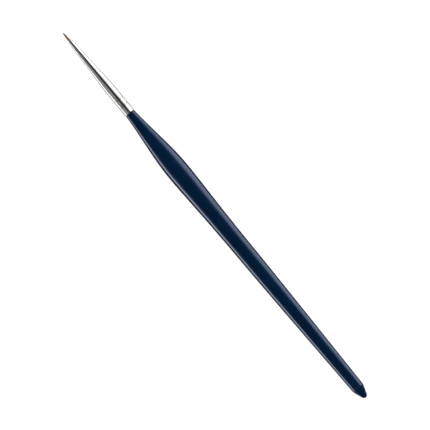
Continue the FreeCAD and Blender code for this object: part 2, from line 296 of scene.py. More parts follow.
class Graph:
    """Adds nodes to one node tree and joins them."""

    def __init__(self, tree: bpy.types.NodeTree) -> None:
        """Takes the tree to work on."""
        self.tree = tree

    def add(self, kind: str, **settings: object) -> bpy.types.Node:
        """Adds one node.

        Args:
            kind: The node's Blender type.
            settings: Values for the node's own properties.

        Returns:
            The new node.
        """
        node = self.tree.nodes.new(kind)
        for key, value in settings.items():
            setattr(node, key, value)
        return node

    def feed(self, target: Socket, value: object) -> None:
        """Joins a socket to an input, or sets the input to a plain value.

        Args:
            target: The input.
            value: A socket to join to it, or the value to give it.
        """
        if isinstance(value, bpy.types.NodeSocket):
            self.tree.links.new(value, target)
        else:
            target.default_value = value

    def fill(self, node: bpy.types.Node, **values: object) -> bpy.types.Node:
        """Feeds several of a node's inputs.

        Args:
            node: The node.
            values: What each input gets, by its name with underscores for spaces.

        Returns:
            The same node.
        """
        for key, value in values.items():
            self.feed(node.inputs[key.replace("_", " ")], value)
        return node

    def math(self, operation: str, *terms: object) -> Socket:
        """One sum on values.

        Args:
            operation: The Math node's operation.
            terms: Its inputs in order, each a socket or a number.

        Returns:
            The result's socket.
        """
        node = self.add("ShaderNodeMath", operation=operation)
        for target, term in zip(node.inputs, terms):
            self.feed(target, term)
        return node.outputs[0]

    def between(
        self,
        value: object,
        start: object,
        end: object,
        low: object = 0.0,
        high: object = 1.0,
        smooth: bool = True,
    ) -> Socket:
        """Spreads a value's range over another.

        Args:
            value: The value to read.
            start: Where the result is low.
            end: Where the result is high.
            low: The result at start.
            high: The result at end.
            smooth: Whether both ends ease in and out.

        Returns:
            The result's socket.
        """
        kind = "SMOOTHSTEP" if smooth else "LINEAR"
        node = self.add("ShaderNodeMapRange", interpolation_type=kind)
        self.fill(node, Value=value, From_Min=start, From_Max=end)
        self.fill(node, To_Min=low, To_Max=high)
        return node.outputs["Result"]

    def noise(
        self, place: Socket, scale: object, detail: float = 3.0, grit: float = 0.5
    ) -> Socket:
        """Cloudy noise.

        Args:
            place: The coordinates that it reads.
            scale: Features in each unit of them.
            detail: How many finer layers it has.
            grit: How strong the finer layers are.

        Returns:
            The noise's value, from 0 to 1.
        """
        node = self.add("ShaderNodeTexNoise")
        self.fill(node, Vector=place, Scale=scale, Detail=detail, Roughness=grit)
        return node.outputs["Fac"]

    def stretched(self, place: Socket, scale: Sequence[object]) -> Socket:
        """Coordinates scaled by a different amount along each axis.

        Args:
            place: The coordinates to scale.
            scale: The amounts along X, Y and Z.

        Returns:
            The scaled coordinates' socket.
        """
        sizes = self.add("ShaderNodeCombineXYZ")
        for target, value in zip(sizes.inputs, scale):
            self.feed(target, value)
        node = self.add("ShaderNodeVectorMath", operation="MULTIPLY")
        self.feed(node.inputs[0], place)
        self.feed(node.inputs[1], sizes.outputs[0])
        return node.outputs[0]

    def blend(self, share: object, first: object, second: object) -> Socket:
        """Mixes two colours.

        Args:
            share: How much of the second colour there is, from 0 to 1.
            first: The first colour.
            second: The second colour.

        Returns:
            The mixed colour's socket.
        """
        node = self.add("ShaderNodeMix", data_type="RGBA")
        self.feed(node.inputs["Factor"], share)
        self.feed(node.inputs[MIX_FIRST], first)
        self.feed(node.inputs[MIX_SECOND], second)
        return node.outputs[MIX_RESULT]

    def bump(self, height: Socket, depth: float, under: Socket | None = None) -> Socket:
        """A relief on the surface.

        Args:
            height: The relief's height, from 0 to 1.
            depth: What a height of 1 is, in metres.
            under: A relief that this one lies on.

        Returns:
            The normal's socket.
        """
        node = self.add("ShaderNodeBump")
        self.fill(node, Height=height, Distance=depth, Strength=1.0)
        if under is not None:
            self.feed(node.inputs["Normal"], under)
        return node.outputs["Normal"]

    def curve(self, value: object, shape: Sequence[Point]) -> Socket:
        """Reads a value off a drawn line.

        Args:
            value: How far along the line to read, from 0 to 1.
            shape: The line's points, in order.

        Returns:
            The socket of the line's height there.
        """
        node = self.add("ShaderNodeFloatCurve")
        self.feed(node.inputs["Value"], value)
        line = node.mapping.curves[0]
        line.points[0].location = shape[0]
        line.points[-1].location = shape[-1]
        for spot in shape[1:-1]:
            line.points.new(*spot)
        for point in line.points:
            point.handle_type = "VECTOR"
        node.mapping.update()
        return node.outputs[0]

    def place(self) -> Socket:
        """The object's own coordinates."""
        return self.add("ShaderNodeTexCoord").outputs["Object"]

    def parts(self, vector: Socket) -> bpy.types.NodeOutputs:
        """Splits coordinates into their X, Y and Z."""
        node = self.add("ShaderNodeSeparateXYZ")
        return self.fill(node, Vector=vector).outputs

    def use(self, group: bpy.types.NodeTree, **values: object) -> Socket:
        """Places a node group, feeds its inputs and gives what comes out."""
        node = self.add("ShaderNodeGroup", node_tree=group)
        return self.fill(node, **values).outputs[0]


@dataclass(frozen=True)
class Effect:
    """A pattern over a surface, which several finishes share.

    Attributes:
        name: The name of its node group.
        output: The name of the one value that comes out.
        draw: Adds the pattern's nodes and gives what comes out.
        inputs: Each input's name and usual value.
    """

    name: str
    output: str
    draw: Callable[[Graph, Given], Socket]
    inputs: dict[str, float]

    def group(self) -> bpy.types.NodeTree:
        """Builds the effect's node group, once.

        Returns:
            The group, the one made before if there is one.
        """
        if self.name in bpy.data.node_groups:
            return bpy.data.node_groups[self.name]
        tree = bpy.data.node_groups.new(self.name, "ShaderNodeTree")
        face, kind = tree.interface, "NodeSocketFloat"
        for label, value in self.inputs.items():
            face.new_socket(name=label, in_out="INPUT", socket_type=kind).default_value = value
        face.new_socket(name=self.output, in_out="OUTPUT", socket_type=kind)
        graph = Graph(tree)
        given = graph.add("NodeGroupInput").outputs
        result = self.draw(graph, {label: given[label] for label in self.inputs})
        graph.feed(graph.add("NodeGroupOutput").inputs[self.output], result)
        return tree


# Where noise turns from low to high in each effect, from 0 to 1 of its value.
STREAK_SPAN: Pair = (0.3, 0.7)
SCRATCHED_SPAN: Pair = (0.52, 0.62)
BAND_PATCH_SPAN: Pair = (0.35, 0.7)
NOISE_MIDDLE = 0.5
# Patches of scratches, and of the bands' wear, stain and darkening, in a metre.
SCRATCHED_SCALE = 120.0
BAND_PATCH_SCALE = 1400.0
# How much finer the noise behind the scratches is across than along.
SCRATCH_NARROWING = 3.0
# The share of the cells that have no speck, and of a speck that is solid.
SPECKS_LEFT_OUT = 0.6
SPECK_CORE = 0.5


def draw_streaks(graph: Graph, given: Given) -> Socket:
    """Draws noise out along X, as in grain and drawn metal.

    Args:
        graph: The group's graph.
        given: The streaks' length and width.

    Returns:
        The streaks' socket, from 0 to 1.
    """
    length = graph.math("DIVIDE", 1.0, given["Length"])
    width = graph.math("DIVIDE", 1.0, given["Width"])
    place = graph.stretched(graph.place(), (length, width, width))
    value = graph.noise(place, 1.0, detail=4.0, grit=0.6)
    return graph.between(value, *STREAK_SPAN, smooth=False)


def draw_marks(graph: Graph, given: Given) -> Socket:
    """Draws hairline scratches, in patches, that run mostly along the brush.

    They lie where drawn-out noise crosses its middle value.

    Args:
        graph: The group's graph.
        given: The scratches' length and fineness.

    Returns:
        The scratches' socket, from 0 to 1.
    """
    length = graph.math("DIVIDE", 1.0, given["Length"])
    width = graph.math("DIVIDE", SCRATCH_NARROWING, given["Length"])
    place = graph.stretched(graph.place(), (length, width, width))
    value = graph.noise(place, 1.0, detail=1.0)
    off = graph.math("ABSOLUTE", graph.math("SUBTRACT", value, NOISE_MIDDLE))
    line = graph.between(off, 0.0, given["Fineness"], 1.0, 0.0)
    patch = graph.noise(graph.place(), SCRATCHED_SCALE, detail=2.0)
    return graph.math("MULTIPLY", line, graph.between(patch, *SCRATCHED_SPAN))


def draw_specks(graph: Graph, given: Given) -> Socket:
    """Draws small rounds of different sizes at some of a cell pattern's centres.

    Args:
        graph: The group's graph.
        given: The specks' spacing, and their greatest size in cells.

    Returns:
        The specks' socket, from 0 to 1.
    """
    cells = graph.add("ShaderNodeTexVoronoi")
    scale = graph.math("DIVIDE", 1.0, given["Spacing"])
    graph.fill(cells, Vector=graph.place(), Scale=scale)
    split = graph.fill(graph.add("ShaderNodeSeparateColor"), Color=cells.outputs["Color"])
    size = graph.math("MULTIPLY", split.outputs[0], given["Size"])
    inner = graph.math("MULTIPLY", size, SPECK_CORE)
    speck = graph.between(cells.outputs["Distance"], inner, size, 1.0, 0.0)
    kept = graph.math("GREATER_THAN", split.outputs[1], SPECKS_LEFT_OUT)
    return graph.math("MULTIPLY", speck, kept)


def draw_band(graph: Graph, given: Given) -> Socket:
    """Draws a soft band round the brush and breaks it up with noise.

    Args:
        graph: The group's graph.
        given: The band's centre on X, its width each way and its amount.

    Returns:
        The band's socket, from 0 to the amount.
    """
    off = graph.math("SUBTRACT", graph.parts(graph.place())["X"], given["Centre"])
    away = graph.math("DIVIDE", graph.math("ABSOLUTE", off), given["Width"])
    band = graph.between(away, 0.0, 1.0, 1.0, 0.0)
    patch = graph.noise(graph.place(), BAND_PATCH_SCALE, detail=4.0, grit=0.6)
    broken = graph.math("MULTIPLY", band, graph.between(patch, *BAND_PATCH_SPAN))
    return graph.math("MULTIPLY", broken, given["Amount"])


STREAKS = Effect("long_streaks", "Streaks", draw_streaks, {"Length": 0.02, "Width": 0.0002})
MARKS = Effect("handling_marks", "Marks", draw_marks, {"Length": 0.006, "Fineness": 0.01})
SPECKS = Effect("dust_specks", "Specks", draw_specks, {"Spacing": 0.002, "Size": 0.05})
BAND_INPUTS = {"Centre": 0.0, "Width": 0.001, "Amount": 1.0}
# This band also darkens the ferrule's crimp grooves, besides marking wear and stains.
WEAR_AND_DARKENING_BAND = Effect("wear_and_darkening_band", "Wear And Darkening", draw_band, BAND_INPUTS)


# ---------------------------------------------------------------- finishes


def grey(level: float) -> Colour:
    """A colour with no hue, from 0 for black to 1 for white."""
    return (level, level, level, 1.0)


def start_material(name: str) -> tuple[bpy.types.Material, Graph, bpy.types.Node]:
    """Makes an empty procedural material.

    Args:
        name: The material's name.

    Returns:
        The material, its graph, and its Principled shader.
    """
    material = bpy.data.materials.new(name)
    material.use_nodes = True
    tree = material.node_tree
    return material, Graph(tree), tree.nodes["Principled BSDF"]


@dataclass(frozen=True)
class Band:
    """A band round the brush, for wear, stains and the darker crimp grooves.

    Attributes:
        place: Its middle, in millimetres from the tail.
        width: How far it reaches each way, in metres.
        amount: How strong it is at its middle.
    """

    place: float
    width: float
    amount: float

    def mask(self, graph: Graph, axis: Axis) -> Socket:
        """Adds the band to a material and gives how strong the band is at each point."""
        centre = axis.along(self.place)
        return graph.use(WEAR_AND_DARKENING_BAND.group(), Centre=centre, Width=self.width, Amount=self.amount)


@dataclass(frozen=True)
class NavyLacquer:
    """Dipped navy lacquer with a gentle orange peel and light handling wear.

    Attributes:
        gloss_by_turn: Specular level by how far the surface turns away from
            the eye, from 0 for square on to 1 for edge on.
        cone_gloss: The share of that gloss that the tail's cone keeps.
        cone_end: Where the cone ends and the full gloss starts.
        roughness: The clean coat's roughness and the smeared coat's.
        scratched: What scratches add to it, as worn_rough is what wear adds.
    """

    deep: Colour = (0.0008, 0.0105, 0.0336, 1.0)
    pale: Colour = (0.0011, 0.0126, 0.0396, 1.0)
    rubbed: Colour = (0.0200, 0.0380, 0.0750, 1.0)
    dust: Colour = (0.1200, 0.1250, 0.1300, 1.0)
    dust_share: float = 0.6
    sheen_tint: Colour = (0.54, 0.67, 1.0, 1.0)
    refraction: float = 1.65
    gloss_by_turn: tuple[Point, ...] = (
        (0.00, 0.03),
        (0.045, 0.03),
        (0.09, 0.05),
        (0.14, 0.115),
        (0.20, 0.26),
        (0.29, 0.90),
        (0.42, 0.85),
        (0.53, 0.00),
        (1.00, 0.00),
    )
    cone_gloss: float = 0.12
    cone_end: Pair = (4.3, 4.8)
    corner_wear: Band = Band(4.8, 0.0007, 0.35)
    lip_wear: Band = Band(136.4, 0.00035, 0.5)
    roughness: Pair = (0.09, 0.15)
    scratched: float = 0.12
    worn_rough: float = 0.3
    cloud_scale: float = 90.0
    cloud_span: Pair = (0.35, 0.65)
    smear_scale: float = 260.0
    smear_span: Pair = (0.4, 0.7)
    peel_scale: float = 700.0
    peel_depth: float = 3.0e-6
    scratch_depth: float = 1.5e-6
    speck_depth: float = 8.0e-6

    def material(self, axis: Axis) -> bpy.types.Material:
        """Builds the lacquer.

        Args:
            axis: The line that the handle lies on.

        Returns:
            The material.
        """
        material, graph, shader = start_material("navy_lacquer_dipped")
        place = graph.place()
        cloud = graph.noise(place, self.cloud_scale)
        coat = graph.blend(graph.between(cloud, *self.cloud_span), self.deep, self.pale)
        marks = graph.use(MARKS.group(), Length=0.007, Fineness=0.008)
        specks = graph.use(SPECKS.group(), Spacing=0.0035, Size=0.035)
        bands = [band.mask(graph, axis) for band in (self.corner_wear, self.lip_wear)]
        wear = graph.math("MAXIMUM", *bands)
        worn = graph.blend(wear, coat, self.rubbed)
        dusty = graph.blend(graph.math("MULTIPLY", specks, self.dust_share), worn, self.dust)
        smear = graph.noise(place, self.smear_scale, detail=4.0, grit=0.6)
        rough = graph.between(smear, *self.smear_span, *self.roughness)
        rough = graph.math("MULTIPLY_ADD", marks, self.scratched, rough)
        rough = graph.math("MULTIPLY_ADD", wear, self.worn_rough, rough)
        skin = graph.bump(graph.noise(place, self.peel_scale, detail=1.0), self.peel_depth)
        skin = graph.bump(marks, -self.scratch_depth, skin)
        skin = graph.bump(specks, self.speck_depth, skin)
        turned = graph.add("ShaderNodeLayerWeight").outputs["Facing"]
        start, end = (axis.along(spot) for spot in self.cone_end)
        dull = graph.between(graph.parts(place)["X"], start, end, self.cone_gloss, 1.0)
        gloss = graph.math("MULTIPLY", graph.curve(turned, self.gloss_by_turn), dull)
        graph.fill(shader, Base_Color=dusty, Roughness=rough, Normal=skin)
        graph.fill(shader, Specular_IOR_Level=gloss)
        graph.fill(shader, Specular_Tint=self.sheen_tint, IOR=self.refraction)
        return material


@dataclass(frozen=True)
class DrawnNickel:
    """Bright nickel plate on a ferrule drawn from one seamless tube.

    Attributes:
        crimps: The middles of the two crimps, where the plate is made darker and rougher.
        cloud_stain: How strong the cloudy stain is, and speck_stain a speck's.
        roughness: The plate's between its drawing lines and on them.
        stained: What stain adds to it; the next two fields add the same in the darker crimp grooves
            and on scratches.
    """

    crimps: Pair
    plate: Colour = (0.69, 0.69, 0.68, 1.0)
    tarnish: Colour = (0.50, 0.49, 0.47, 1.0)
    # The colour that the plate is darkened towards in the middle of each crimp groove.
    groove_darkening: Colour = (0.16, 0.15, 0.13, 1.0)
    edge_tint: Colour = (0.02, 0.02, 0.02, 1.0)
    anisotropy: float = 0.6
    groove_darkening_width: float = 0.00045
    groove_darkening_amount: float = 0.9
    rim_stain: Band = Band(136.6, 0.0006, 0.4)
    mouth_stain: Band = Band(170.9, 0.0008, 0.3)
    cloud_scale: float = 220.0
    cloud_span: Pair = (0.5, 0.8)
    cloud_stain: float = 0.35
    speck_stain: float = 0.8
    roughness: Pair = (0.08, 0.16)
    stained: float = 0.15
    groove_roughening: float = 0.2
    scratched: float = 0.1
    line_depth: float = 8.0e-8
    scratch_depth: float = 2.0e-7

    def material(self, axis: Axis) -> bpy.types.Material:
        """Builds the nickel.

        Args:
            axis: The line that the ferrule lies on.

        Returns:
            The material.
        """
        material, graph, shader = start_material("nickel_plate_drawn")
        lines = graph.use(STREAKS.group(), Length=0.012, Width=0.00006)
        marks = graph.use(MARKS.group(), Length=0.004, Fineness=0.01)
        specks = graph.use(SPECKS.group(), Spacing=0.0025, Size=0.04)
        cloud = graph.noise(graph.place(), self.cloud_scale, detail=4.0, grit=0.6)
        bands = [band.mask(graph, axis) for band in (self.rim_stain, self.mouth_stain)]
        stain = graph.math("MAXIMUM", *bands)
        clouded = graph.between(cloud, *self.cloud_span, 0.0, self.cloud_stain)
        stain = graph.math("MAXIMUM", stain, clouded)
        stain = graph.math("MAXIMUM", stain, graph.math("MULTIPLY", specks, self.speck_stain))
        plate = graph.blend(stain, self.plate, self.tarnish)
        # Darkens and roughens the plate in both crimp grooves, most at their middles.
        grooves = [Band(crimp, self.groove_darkening_width, self.groove_darkening_amount) for crimp in self.crimps]
        groove_darkening = graph.math("MAXIMUM", *(groove.mask(graph, axis) for groove in grooves))
        plate = graph.blend(groove_darkening, plate, self.groove_darkening)
        rough = graph.between(lines, 0.0, 1.0, *self.roughness)
        rough = graph.math("MULTIPLY_ADD", stain, self.stained, rough)
        rough = graph.math("MULTIPLY_ADD", groove_darkening, self.groove_roughening, rough)
        rough = graph.math("MULTIPLY_ADD", marks, self.scratched, rough)
        skin = graph.bump(lines, self.line_depth)
        skin = graph.bump(marks, -self.scratch_depth, skin)
        ring = graph.add("ShaderNodeTangent", direction_type="RADIAL", axis="X")
        graph.fill(shader, Base_Color=plate, Roughness=rough, Normal=skin)
        graph.fill(shader, Metallic=1.0, Anisotropic=self.anisotropy, Specular_Tint=self.edge_tint)
        graph.fill(shader, Tangent=ring.outputs[0])
        return material


@dataclass(frozen=True)
class BrownHair:
    """Reddish brown sable, every hair a little lighter or darker than the next.

    Attributes:
        belly_span: Where along a hair the root's colour turns to the belly's.
        tip_span: Where the belly's colour turns to the tip's.
        hair_shades: How dark and how light one hair is beside the next.
        scale_shades: How dark and how light its scales are.
    """

    root: Colour = (0.320, 0.157, 0.073, 1.0)
    belly: Colour = (0.265, 0.115, 0.045, 1.0)
    tip: Colour = (0.280, 0.118, 0.048, 1.0)
    fuzz: Colour = (1.000, 0.560, 0.300, 1.0)
    belly_span: Pair = (0.45, 0.72)
    tip_span: Pair = (0.80, 1.0)
    hair_shades: Pair = (0.72, 1.28)
    scale_shades: Pair = (0.9, 1.1)
    scale_depth: float = 8.0e-7
    roughness: Pair = (0.42, 0.56)
    sheen: float = 0.8
    sheen_roughness: float = 0.5
    refraction: float = 1.55
    specular: float = 0.18

    def material(self) -> bpy.types.Material:
        """Builds the hair, which reads the hairs' own attributes.

        Returns:
            The material.
        """
        material, graph, shader = start_material("brown_hair_sable")
        along = graph.add("ShaderNodeAttribute", attribute_name="hair_along").outputs["Fac"]
        tone = graph.add("ShaderNodeAttribute", attribute_name="hair_tone").outputs["Fac"]
        low = graph.blend(graph.between(along, *self.belly_span), self.root, self.belly)
        colour = graph.blend(graph.between(along, *self.tip_span), low, self.tip)
        scales = graph.use(STREAKS.group(), Length=0.0009, Width=0.00003)
        shade = graph.between(tone, 0.0, 1.0, *self.hair_shades, smooth=False)
        shade = graph.math("MULTIPLY", shade, graph.between(scales, 0.0, 1.0, *self.scale_shades))
        scaled = graph.add("ShaderNodeVectorMath", operation="SCALE")
        graph.feed(scaled.inputs[0], colour)
        graph.feed(scaled.inputs["Scale"], shade)
        rough = graph.between(scales, 0.0, 1.0, *self.roughness)
        skin = graph.bump(scales, self.scale_depth)
        graph.fill(shader, Base_Color=scaled.outputs[0], Roughness=rough, Normal=skin)
        graph.fill(shader, IOR=self.refraction, Specular_IOR_Level=self.specular)
        graph.fill(shader, Sheen_Weight=self.sheen, Sheen_Roughness=self.sheen_roughness)
        graph.fill(shader, Sheen_Tint=self.fuzz)
        return material


@dataclass(frozen=True)
class Hardwood:
    """Pale close-grained wood under the lacquer."""

    early: Colour = (0.520, 0.330, 0.170, 1.0)
    late: Colour = (0.330, 0.180, 0.080, 1.0)
    grain_depth: float = 1.0e-5
    ring_scale: Spot = (6.0, 260.0, 260.0)
    roughness: Pair = (0.55, 0.75)

    def material(self) -> bpy.types.Material:
        """Builds the wood, its rings set off the handle's axis.

        Returns:
            The material.
        """
        material, graph, shader = start_material("hardwood_birch")
        grain = graph.use(STREAKS.group(), Length=0.03, Width=0.0004)
        rings = graph.add("ShaderNodeTexWave", wave_type="RINGS", rings_direction="X")
        graph.fill(rings, Vector=graph.stretched(graph.place(), self.ring_scale))
        graph.fill(rings, Scale=1.0, Distortion=2.0, Detail=2.0)
        share = graph.math("MULTIPLY", rings.outputs["Fac"], grain)
        colour = graph.blend(share, self.early, self.late)
        rough = graph.between(grain, 0.0, 1.0, *self.roughness)
        skin = graph.bump(grain, self.grain_depth)
        graph.fill(shader, Base_Color=colour, Roughness=rough, Normal=skin)
        return material


@dataclass(frozen=True)
class CuredGlue:
    """A hard clear glue, with bubbles and a wavy skin.

    Attributes:
        name: The material's name.
        thin: Its colour where it is thin.
        thick: Its colour where it is thick.
        roughness: How dull its skin is.
        dulled: What is added to that where it is thick.
        bubble_share: How much of the thin colour a bubble shows.
    """

    name: str
    thin: Colour
    thick: Colour
    roughness: float
    dulled: float = 0.12
    flow_scale: float = 900.0
    flow_span: Pair = (0.35, 0.65)
    dulled_span: Pair = (0.3, 0.7)
    flow_depth: float = 2.0e-5
    bubble_share: float = 0.4
    bubble_depth: float = 1.0e-5
    coat: float = 0.4
    coat_roughness: float = 0.1

    def material(self) -> bpy.types.Material:
        """Builds the glue.

        Returns:
            The material.
        """
        material, graph, shader = start_material(self.name)
        flow = graph.noise(graph.place(), self.flow_scale)
        bubbles = graph.use(SPECKS.group(), Spacing=0.0005, Size=0.2)
        colour = graph.blend(graph.between(flow, *self.flow_span), self.thin, self.thick)
        colour = graph.blend(graph.math("MULTIPLY", bubbles, self.bubble_share), colour, self.thin)
        dullest = self.roughness + self.dulled
        rough = graph.between(flow, *self.dulled_span, self.roughness, dullest)
        skin = graph.bump(flow, self.flow_depth)
        skin = graph.bump(bubbles, -self.bubble_depth, skin)
        graph.fill(shader, Base_Color=colour, Roughness=rough, Normal=skin)
        graph.fill(shader, Coat_Weight=self.coat, Coat_Roughness=self.coat_roughness)
        return material


WOOD_GLUE = CuredGlue(
    "wood_glue_cured", thin=(0.62, 0.50, 0.26, 1.0), thick=(0.45, 0.30, 0.11, 1.0), roughness=0.3
)
AMBER_RESIN = CuredGlue(
    "resin_cured", thin=(0.38, 0.20, 0.06, 1.0), thick=(0.20, 0.09, 0.03, 1.0), roughness=0.18
)


@dataclass(frozen=True)
class CottonThread:
    """Undyed cotton, with twisted strands and fuzz."""

    light: Colour = (0.700, 0.650, 0.540, 1.0)
    shade: Colour = (0.430, 0.380, 0.290, 1.0)
    twist_scale: float = 9000.0
    twist_depth: float = 1.0e-5
    fuzz_scale: float = 30000.0
    fuzz_span: Pair = (0.3, 0.7)
    fuzz_depth: float = 4.0e-6
    roughness: Pair = (0.75, 0.95)
    sheen: float = 0.3

    def material(self) -> bpy.types.Material:
        """Builds the cotton.

        Returns:
            The material.
        """
        material, graph, shader = start_material("cotton_thread_twisted")
        place = graph.place()
        twist = graph.add("ShaderNodeTexWave", wave_type="BANDS", bands_direction="DIAGONAL")
        graph.fill(twist, Vector=place, Scale=self.twist_scale, Distortion=1.5, Detail=2.0)
        fuzz = graph.noise(place, self.fuzz_scale, grit=0.7)
        share = graph.math("MULTIPLY", twist.outputs["Fac"], fuzz)
        colour = graph.blend(share, self.shade, self.light)
        skin = graph.bump(twist.outputs["Fac"], self.twist_depth)
        skin = graph.bump(fuzz, self.fuzz_depth, skin)
        rough = graph.between(fuzz, *self.fuzz_span, *self.roughness)
        graph.fill(shader, Base_Color=colour, Roughness=rough, Normal=skin)
        graph.fill(shader, Sheen_Weight=self.sheen)
        return material


def hand_over(
    piece: bpy.types.Object, material: bpy.types.Material, node: Node
) -> None:
    """Gives a finished piece its material and its place in the model.

    Args:
        piece: The piece.
        material: What it is made of.
        node: The solid that it stands for.
    """
    if not piece.data.materials:
        piece.data.materials.append(material)
    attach(piece, BODY)
    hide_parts(node.value)
    log.info("%s: %d faces, stands for %s", piece.name, len(piece.data.polygons), node.value)


def dress(node: Node, material: bpy.types.Material) -> None:
    """Gives a solid that stays as it is its finish.

    Args:
        node: The solid.
        material: What it is made of.
    """
    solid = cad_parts[node.value]
    for slot in solid.material_slots:
        slot.material = material
    log.info("%s: kept, in %s", node.value, material.name)


# ------------------------------------------------------------ the assembly


@dataclass
class Handle:
    """The turned wooden handle in its dipped coat, from the tail to the rim.

    Attributes:
        drip_radius: The tail end's radius, where the coat's last drop dried.
        drip_length: How far that drop rounds the tail end.
        corner: Where the tail's cone turns into the long taper.
        corner_round: How far its soft corner reaches each way.
        tail_taper: The taper's slope past the corner, in degrees.
        waist_taper: The slope at the waist, in degrees.
        front_flare: The slope behind the ferrule, in degrees.
        lip_round: The coat's round edge against the ferrule.
        coat: The lacquer's thickness.
        segments: How many steps go round.

    A pair of pulls is the shares of a curve's length for which it keeps near
    the line that it leaves and the one that it joins. Steps are the rows of
    points along each part.
    """

    drip_radius: float = 0.84
    drip_length: float = 0.95
    drip_steps: int = 12
    corner: float = 4.55
    corner_radius: float = 2.43
    corner_round: float = 0.5
    cone_steps: int = 8
    corner_steps: int = 8
    tail_taper: float = 1.0
    taper_pulls: Pair = (0.28, 0.18)
    taper_steps: int = 48
    waist: float = 68.5
    waist_radius: float = 3.44
    waist_taper: float = 0.24
    swell_pulls: Pair = (0.51, 0.16)
    swell_steps: int = 40
    crest: float = 107.0
    crest_length: float = 2.0
    crest_radius: float = 4.22
    crest_steps: int = 2
    neck_pulls: Pair = (0.30, 0.38)
    neck_steps: int = 48
    front: float = 136.5
    front_radius: float = 1.9
    front_flare: float = 4.0
    lip_round: float = 0.09
    lip_steps: int = 5
    coat: float = 0.2
    segments: int = 120

    def outside(self) -> list[Point]:
        """Draws the coat's outer outline.

        Returns:
            Its points, from the tail forward.
        """
        corner, waist = (self.corner, self.corner_radius), (self.waist, self.waist_radius)
        crest, front = (self.crest, self.crest_radius), (self.front, self.front_radius)
        cone_slope = (self.corner_radius - self.drip_radius) / self.corner
        cone = sloped((0.0, self.drip_radius), cone_slope)
        taper = sloped(corner, slope_of(self.tail_taper))
        swell = sloped(waist, slope_of(self.waist_taper))
        land = sloped(crest, 0.0)
        neck = sloped(front, -slope_of(self.front_flare))
        drip_end = (self.drip_length, cone(self.drip_length))
        points = rounded((0.0, 0.0), (0.0, self.drip_radius), drip_end, self.drip_steps)
        start, end = self.corner - self.corner_round, self.corner + self.corner_round
        points += run_to(points[-1], (start, cone(start)), self.cone_steps)
        points += curve_through((points[-1], corner, (end, taper(end))), self.corner_steps)
        points += eased_run(points[-1], waist, taper, swell, self.taper_pulls, self.taper_steps)
        points += eased_run(points[-1], crest, swell, land, self.swell_pulls, self.swell_steps)
        crest_end = (self.crest + self.crest_length, self.crest_radius)
        points += run_to(points[-1], crest_end, self.crest_steps)
        points += eased_run(points[-1], front, land, neck, self.neck_pulls, self.neck_steps)
        return points

    def shell(self) -> list[Point]:
        """Draws the coat's whole section.

        Returns:
            Its outside, its lip and its inner wall, back at the tail.
        """
        outer = self.outside()
        inner = moved_in(outer[:-1:2] + outer[-1:], self.coat)
        end, radius = outer.pop()
        start = end - self.lip_round
        while outer[-1][0] > start:
            outer.pop()
        lip = rounded((start, radius), (end, radius), (end, radius - self.lip_round), self.lip_steps)
        inner[-1] = (end, radius - self.coat)
        inner[0] = (self.coat, 0.0)
        return outer + lip + inner[::-1]

    def build(self, axis: Axis) -> None:
        """Builds the coat and dresses the wooden core under it.

        Args:
            axis: The line to turn the coat about.
        """
        coat = turned_mesh("dipped_lacquer_coat", self.shell(), axis, self.segments, closed=False)
        hand_over(coat, NavyLacquer().material(axis), Node.COAT)
        dress(Node.CORE, Hardwood().material())


